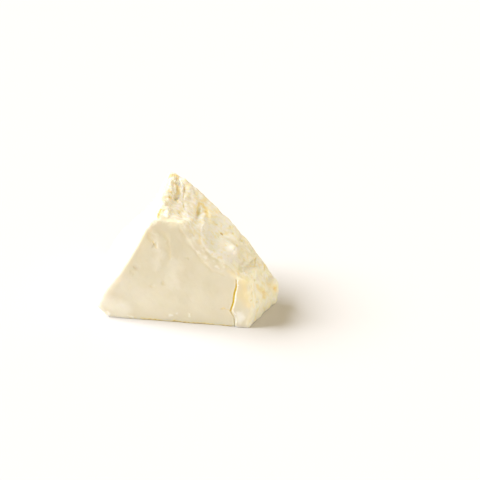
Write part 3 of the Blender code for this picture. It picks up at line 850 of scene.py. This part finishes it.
def open_crack(item):
    """Carve the crack into the front cut, and close what is deeper."""
    points = places(item)
    floor_y = FRONT_Y + CRACK_DEPTH
    gap = fall(from_crack(points) / crack_width(points), 0.5, 0.9)
    face = fall(points[:, 1] - FRONT_Y, 2.0, 2.0)
    points[:, 1] += gap * face * CRACK_DEPTH
    deeper = (from_crack(points) < CRACK_SIDE) & (points[:, 1] > floor_y)
    deeper &= (points[:, 2] > CRACK_HEIGHTS[0]) & (points[:, 2] < CRACK_HEIGHTS[1])
    points[deeper, 1] = floor_y + CRACK_KEPT * (points[deeper, 1] - FRONT_Y - CRACK_DEPTH)
    put(item, points)


def thin_out(item, most):
    """Keep at most so many triangles, the fewest on the flattest stretches."""
    item.data.calc_loop_triangles()
    count = len(item.data.loop_triangles)
    if count > most:
        thin = item.modifiers.new("thin", 'DECIMATE')
        thin.ratio = most / count
        apply_all(item)


def settle(item):
    """Let nothing reach below the floor."""
    points = places(item)
    points[:, 2] = np.maximum(points[:, 2], 0.0)
    put(item, points)


def even_out(values, edges, counts, times):
    """Average each vertex's values with its neighbours', so many times."""
    for _ in range(times):
        fresh = np.empty_like(values)
        for axis in range(values.shape[1]):
            total = np.bincount(edges[:, 0], values[edges[:, 1], axis], len(values))
            total += np.bincount(edges[:, 1], values[edges[:, 0], axis], len(values))
            fresh[:, axis] = 0.5 * values[:, axis] + 0.5 * total / counts
        values = fresh
    return values


def note_surface(item):
    """Store how sunk or raised each place is, and whether it is crumb, end, edge or crack; the
    material paints shade, highlight and glow from these.
    """
    points = places(item)
    normals = np.empty(len(points) * 3, np.float32)
    item.data.vertex_normals.foreach_get("vector", normals)
    normals = normals.reshape(-1, 3)
    edges = np.empty(len(item.data.edges) * 2, np.int32)
    item.data.edges.foreach_get("vertices", edges)
    edges = edges.reshape(-1, 2)
    counts = np.maximum(np.bincount(edges.ravel(), minlength=len(points)), 1)
    near = even_out(points, edges, counts, NEAR_ROUNDS)
    wide = even_out(near, edges, counts, WIDE_ROUNDS)
    fine = ((near - points) * normals).sum(axis=1)
    broad = ((wide - points) * normals).sum(axis=1)
    # sunk and pitted carry painted shade into the hollows and pits.
    note(item, "sunk", np.clip(broad / SUNK_FULL, 0.0, 1.0))
    note(item, "pitted", np.clip(fine / PIT_FULL, 0.0, 1.0))
    # raised carries painted highlight onto the grains that stand out.
    note(item, "raised", np.clip(-fine / PIT_FULL, 0.0, 1.0))
    zone = 0.6 * fall(from_break(points), 0.0, 5.5)
    note(item, "crumb", np.maximum(rise(inside_cuts(points), 0.7, 1.2), zone))
    note(item, "end", rise(points[:, 0], 28.0, 12.0))
    # edge carries a painted glow along the front-left edge.
    note(item, "edge", fall(from_front_left(points), 0.5, 6.0))
    # crack carries painted shade inside the crack.
    opened = fall(from_crack(points) / crack_width(points), 0.6, 0.6)
    note(item, "crack", opened * (0.35 + 0.65 * rise(points[:, 2], 9.0, 3.0)))


def mix(tree, label, share, first, second):
    """Mix two colours; each is a socket or a plain colour."""
    made = tree.nodes.new('ShaderNodeMix')
    made.label = label
    made.data_type = 'RGBA'
    made.clamp_factor = True
    tree.links.new(share, made.inputs[0])
    for socket, value in ((made.inputs[6], first), (made.inputs[7], second)):
        if isinstance(value, bpy.types.NodeSocket):
            tree.links.new(value, socket)
        else:
            socket.default_value = (*value, 1.0)
    return made.outputs[2]


def scaled(tree, label, socket, low, high, start=0.0, end=1.0):
    """Map a value's stretch from low to high onto start to end."""
    made = tree.nodes.new('ShaderNodeMapRange')
    made.label = label
    made.clamp = True
    tree.links.new(socket, made.inputs["Value"])
    made.inputs["From Min"].default_value = low
    made.inputs["From Max"].default_value = high
    made.inputs["To Min"].default_value = start
    made.inputs["To Max"].default_value = end
    return made.outputs["Result"]


def product(tree, label, first, second):
    """Multiply two values."""
    made = tree.nodes.new('ShaderNodeMath')
    made.operation = 'MULTIPLY'
    made.label = label
    tree.links.new(first, made.inputs[0])
    tree.links.new(second, made.inputs[1])
    return made.outputs[0]


def stored(tree, name):
    """The value that the wedge's mesh stores under this name."""
    made = tree.nodes.new('ShaderNodeAttribute')
    made.attribute_name = name
    made.label = name
    return made.outputs["Fac"]


def speckle(tree, label, where, size, detail=3.0):
    """Noise with features of the given size in millimetres."""
    made = tree.nodes.new('ShaderNodeTexNoise')
    made.label = label
    tree.links.new(where, made.inputs["Vector"])
    made.inputs["Scale"].default_value = 1.0 / (size * MM)
    made.inputs["Detail"].default_value = detail
    return made.outputs["Fac"]


def curd_pattern(tree, where, end):
    """Round grains of curd, drawn out upright at the broken end."""
    upright = tree.nodes.new('ShaderNodeMapping')
    upright.label = "upright"
    upright.inputs["Scale"].default_value = UPRIGHT_DRAW
    tree.links.new(where, upright.inputs["Vector"])
    curd = tree.nodes.new('ShaderNodeMix')
    curd.label = "curd"
    tree.links.new(end, curd.inputs[0])
    tree.links.new(speckle(tree, "round curd", where, *ROUND_CURD), curd.inputs[2])
    upright_curd = speckle(tree, "upright curd", upright.outputs[0], *UPRIGHT_CURD)
    tree.links.new(upright_curd, curd.inputs[3])
    return curd.outputs[0]


def cheese_colour(tree, where, look):
    """Cut and crumb colours, then one tint after the other over them, several of them painted
    shade, highlight or glow.
    """
    split = tree.nodes.new('ShaderNodeSeparateXYZ')
    tree.links.new(where, split.inputs[0])
    high = split.outputs["Z"]
    crumb = stored(tree, "crumb")
    end = stored(tree, "end")
    warm = stored(tree, "warm")
    smooth = scaled(tree, "smooth part", crumb, 0.0, 1.0, 1.0, 0.12)
    patches = speckle(tree, "patches", where, PATCH_SIZE)
    curd = curd_pattern(tree, where, end)
    # Each tint: its value, the stretch over which it comes up, its share there, the part
    # of the wedge that it keeps to, and its colour.
    tints = (
        # Painted shade: the upper part darker towards the top, and the crumb's top darker
        # still.
        ("painted shade on the upper part", high, (20.0 * MM, 66.0 * MM), 0.75, smooth, look.dusk),
        ("painted shade on the crumb's top", high, (56.0 * MM, 70.0 * MM), 0.42, crumb, look.dusk),
        ("dusky patches", patches, (0.4, 0.7), 0.35, smooth, look.dusk),
        ("milky curd", curd, (0.5, 0.62), 0.92, crumb, look.milk_and_highlight),
        ("warm curd", curd, (0.46, 0.34), 0.42, crumb, look.deep),
        ("warm end", end, (0.0, 1.0), 0.2, crumb, look.deep),
        # Painted glow along the front-left edge, and painted highlight on the raised grains.
        ("painted glow at front-left edge", stored(tree, "edge"), (0.0, 1.0), 0.4, None, look.milk_and_highlight),
        ("painted highlight on raised grains", stored(tree, "raised"), (0.15, 1.0), 0.4, None, look.milk_and_highlight),
        # Painted shade in the hollows and the pits.
        ("painted shade in hollows", stored(tree, "sunk"), (0.3, 1.0), 0.12, crumb, look.deep),
        ("painted shade in pits", stored(tree, "pitted"), (0.3, 1.0), 0.22, crumb, look.deep),
        # Painted shade in the dents, pits, creases and between lumps, a painted glow on the
        # slab, and warm tone elsewhere.
        ("warm tint and painted shade", warm, (0.0, 1.0), 0.9, None, look.deep),
        # Painted shade, brown: the contact shadow along the foot, the hole, the ridge's step
        # and the apex tip.
        ("brown tint and painted shade", warm, (1.0, 2.0), 1.0, None, look.brown_shade),
    )
    colour = mix(tree, "cut or crumb", crumb, look.cut, look.crumb)
    for label, value, (low, high), most, part, tone in tints:
        share = scaled(tree, label, value, low, high, 0.0, most)
        if part:
            share = product(tree, label + " in place", share, part)
        colour = mix(tree, label, share, colour, tone)
    # Painted shade where marks are dusky; painted highlight on rims, ledges and lumps, and
    # painted light low on the front, where they are milky.
    colour = mix(tree, "painted shade tint", stored(tree, "dusky"), colour, look.dusk)
    colour = mix(tree, "pale tint and painted highlight", stored(tree, "milky"), colour, look.milk_and_highlight)
    # Painted shade inside the crack.
    return mix(tree, "painted shade in crack", stored(tree, "crack"), colour, look.crack)


def cheese_material(look):
    """Moist white cheese: cut and crumb colours, painted shade in the pits, painted highlight
    on the rims, fine grain.
    """
    material = bpy.data.materials.new("feta_cheese")
    material.use_nodes = True
    tree = material.node_tree
    shader = tree.nodes["Principled BSDF"]
    where = tree.nodes.new('ShaderNodeTexCoord').outputs["Object"]
    tree.links.new(cheese_colour(tree, where, look), shader.inputs["Base Color"])

    shine = speckle(tree, "moist", where, MOIST_SIZE)
    wettest, driest = look.roughness - 0.08, look.roughness + 0.1
    moist = scaled(tree, "moist", shine, 0.3, 0.7, wettest, driest)
    tree.links.new(moist, shader.inputs["Roughness"])

    grain = tree.nodes.new('ShaderNodeBump')
    grain.label = "grain"
    grain.inputs["Distance"].default_value = GRAIN_DEPTH * MM
    tree.links.new(speckle(tree, "grain", where, *GRAIN), grain.inputs["Height"])
    strength = scaled(tree, "grain strength", stored(tree, "crumb"), 0.0, 1.0, 0.1, 0.25)
    tree.links.new(strength, grain.inputs["Strength"])
    tree.links.new(grain.outputs["Normal"], shader.inputs["Normal"])

    crack = stored(tree, "crack")
    milkiness = scaled(tree, "translucency", crack, 0.0, 0.6, look.translucency, 0.0)
    tree.links.new(milkiness, shader.inputs["Subsurface Weight"])
    shader.inputs["Subsurface Radius"].default_value = LIGHT_REACH
    shader.inputs["Subsurface Scale"].default_value = LIGHT_DEPTH * MM
    shader.inputs["Specular IOR Level"].default_value = SHINE
    return material


def lay_floor(look):
    """A plain floor, wide enough to fill the view."""
    bpy.ops.object.select_all(action='DESELECT')
    bpy.ops.mesh.primitive_plane_add(size=FLOOR_SIZE)
    floor = bpy.context.object
    floor.name = "floor"
    material = bpy.data.materials.new("floor")
    material.use_nodes = True
    shader = material.node_tree.nodes["Principled BSDF"]
    shader.inputs["Base Color"].default_value = (*look.floor, 1.0)
    shader.inputs["Roughness"].default_value = 0.8
    shader.inputs["Specular IOR Level"].default_value = 0.1
    floor.data.materials.append(material)


def light_all_round(look):
    """Soft light from all round, stronger on the right and paler towards the horizon."""
    world = bpy.data.worlds.new("studio")
    bpy.context.scene.world = world
    world.use_nodes = True
    sky = world.node_tree
    light = sky.nodes["Background"]
    split = sky.nodes.new('ShaderNodeSeparateXYZ')
    toward = sky.nodes.new('ShaderNodeTexCoord').outputs["Generated"]
    sky.links.new(toward, split.inputs[0])
    strongest = look.fill * look.bounce
    side = scaled(sky, "right side", split.outputs["X"], -0.2, 1.0, look.fill, strongest)
    sky.links.new(side, light.inputs["Strength"])
    height = scaled(sky, "height", split.outputs["Z"], 0.0, 0.7)
    sky.links.new(mix(sky, "fill", height, look.horizon, look.zenith), light.inputs["Color"])


def hang_key(look):
    """The main light."""
    bpy.ops.object.light_add(type='SUN', location=(0.0, 0.0, 1.0))
    key = bpy.context.object
    key.name = "key"
    key.data.energy = look.key
    key.data.angle = look.key_softness
    toward = Vector((
        math.cos(look.key_bearing) * math.cos(look.key_height),
        math.sin(look.key_bearing) * math.cos(look.key_height),
        math.sin(look.key_height),
    ))
    key.rotation_euler = toward.to_track_quat('Z', 'Y').to_euler()


def place_camera(look):
    """The camera, at the photograph's viewing angle."""
    place = Vector(look.camera_place)
    bpy.ops.object.camera_add(location=place)
    camera = bpy.context.object
    camera.name = "camera"
    toward = Vector(look.camera_aim) - place
    camera.rotation_euler = toward.to_track_quat('-Z', 'Y').to_euler()
    camera.data.lens = look.lens
    camera.data.sensor_width = SENSOR_WIDTH
    bpy.context.scene.camera = camera


class FETA_OT_wedge(bpy.types.Operator):
    """Build the wedge from the CAD solid"""

    bl_idname = "feta.wedge"
    bl_label = "Wedge"

    def execute(self, context):
        """Copy the solid, carve it, thin it out and give it the cheese."""
        sizes = context.scene.feta_sizes
        wedge = copy_solid("wedge")
        remesh(wedge, sizes.grain)
        round_off(wedge)
        carve_crumb(wedge, sizes)
        carve_cuts(wedge, sizes)
        carve_marks(wedge)
        open_crack(wedge)
        thin_out(wedge, sizes.triangles)
        settle(wedge)
        wedge.vertex_groups.clear()
        note_surface(wedge)
        only(wedge)
        bpy.ops.object.shade_smooth()
        wedge.data.materials.append(cheese_material(context.scene.feta_cheese))
        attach(wedge, "root")
        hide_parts(NODE)
        return {'FINISHED'}


class FETA_OT_stage(bpy.types.Operator):
    """Lay the floor and place the lights and the camera"""

    bl_idname = "feta.stage"
    bl_label = "Stage"

    def execute(self, context):
        """Build everything that the wedge is seen with."""
        look = context.scene.feta_stage
        lay_floor(look)
        light_all_round(look)
        hang_key(look)
        place_camera(look)
        context.scene.view_settings.view_transform = 'Standard'
        return {'FINISHED'}


class FETA_PT_panel(bpy.types.Panel):
    """Buttons for the wedge and its stage"""

    bl_idname = "FETA_PT_panel"
    bl_label = "Feta wedge"
    bl_space_type = 'VIEW_3D'
    bl_region_type = 'UI'
    bl_category = "Feta"

    def draw(self, context):
        """Show each group of settings in a box, with its button below."""
        scene = context.scene
        for settings, operator in (
            (scene.feta_sizes, FETA_OT_wedge),
            (scene.feta_cheese, None),
            (scene.feta_stage, FETA_OT_stage),
        ):
            box = self.layout.box()
            for name in settings.__annotations__:
                box.prop(settings, name)
            if operator:
                box.operator(operator.bl_idname)


CLASSES = (WedgeSizes, CheeseLook, StageLook, FETA_OT_wedge, FETA_OT_stage, FETA_PT_panel)


def register():
    """Register the classes and give the scene its settings."""
    for item in CLASSES:
        bpy.utils.register_class(item)
    bpy.types.Scene.feta_sizes = PointerProperty(type=WedgeSizes)
    bpy.types.Scene.feta_cheese = PointerProperty(type=CheeseLook)
    bpy.types.Scene.feta_stage = PointerProperty(type=StageLook)


def unregister():
    """Take the settings and the classes away again."""
    del bpy.types.Scene.feta_stage
    del bpy.types.Scene.feta_cheese
    del bpy.types.Scene.feta_sizes
    for item in reversed(CLASSES):
        bpy.utils.unregister_class(item)


def main():
    """Build the wedge and the stage."""
    register()
    bpy.ops.feta.wedge()
    bpy.ops.feta.stage()


if __name__ == "__main__":
    main()
